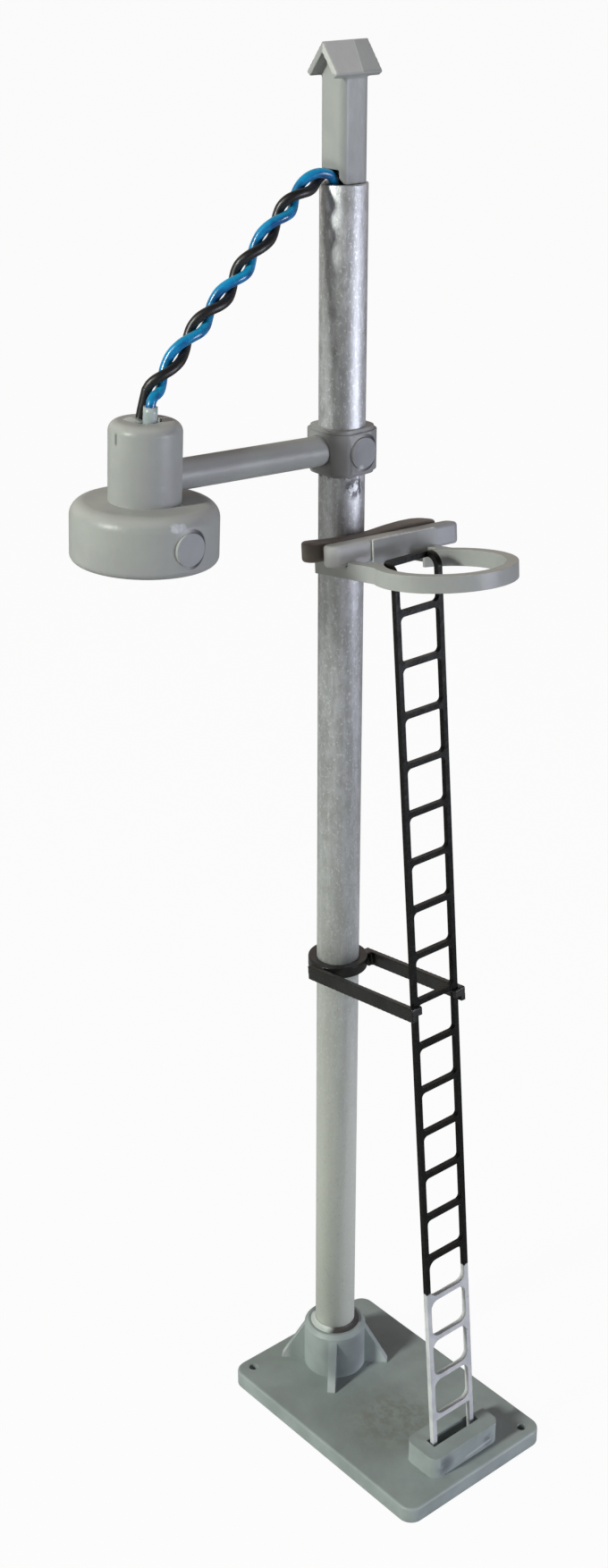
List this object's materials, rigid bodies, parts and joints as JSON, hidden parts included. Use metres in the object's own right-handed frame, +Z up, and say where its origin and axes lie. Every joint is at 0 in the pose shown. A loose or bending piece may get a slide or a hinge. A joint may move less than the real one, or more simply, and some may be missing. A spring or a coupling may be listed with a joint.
{
  "type": "model railway yard lamp mast",
  "caption": "Small-scale yard lamp mast on a moulded base, with a ladder, a service platform with a hoop, a lit lamp on an arm and a roofed finial.",
  "frame": {"origin": "on the mast axis, on the underside of the base", "axes": "+Z up the mast, +X from the mast to the ladder's foot, -Y from the mast to the lamp"},
  "size_m": [0.0274, 0.0362, 0.1324],
  "materials": {
    "base_plastic": "moulded, grey",
    "pale_plastic": "moulded, light grey",
    "dull_plastic": "moulded, brown-grey",
    "tube": "drawn",
    "cement": "dried cement",
    "black_plastic": "moulded, black",
    "lens": "milky",
    "lead_metal": "tinned",
    "solder": "solder",
    "white_sleeving": "soft sleeve",
    "black_sleeving": "soft sleeve",
    "blue_insulation": "glossy wire insulation",
    "black_insulation": "glossy wire insulation"
  },
  "bodies": {
    "mast": {"base_moulding": "base_plastic", "mast_tube": "tube", "mast_cement": "cement", "ladder": "black_plastic", "ladder_stay": "black_plastic", "platform_rear_bar": "dull_plastic", "platform_front_bar": "pale_plastic", "safety_hoop": "pale_plastic"},
    "lamp": {"lamp_collar": "pale_plastic", "lamp_housing": "pale_plastic", "led_body": "lens", "led_anode_leg": "lead_metal", "led_cathode_leg": "lead_metal", "solder_joints": "solder", "white_sleeve": "white_sleeving", "black_sleeve": "black_sleeving", "blue_wire": "blue_insulation", "black_wire": "black_insulation"},
    "finial": {"finial": "pale_plastic"}
  },
  "joints": [
    {"name": "lamp_swivel", "type": "hinge", "parent": "mast", "child": "lamp", "pos_m": [0, 0, 0.09965], "axis": [0, 0, 1], "range_deg": [-10, 10]},
    {"name": "finial_lift", "type": "slide", "parent": "mast", "child": "finial", "axis": [0, 0, 1], "range_m": [0, 0.006]}
  ]
}
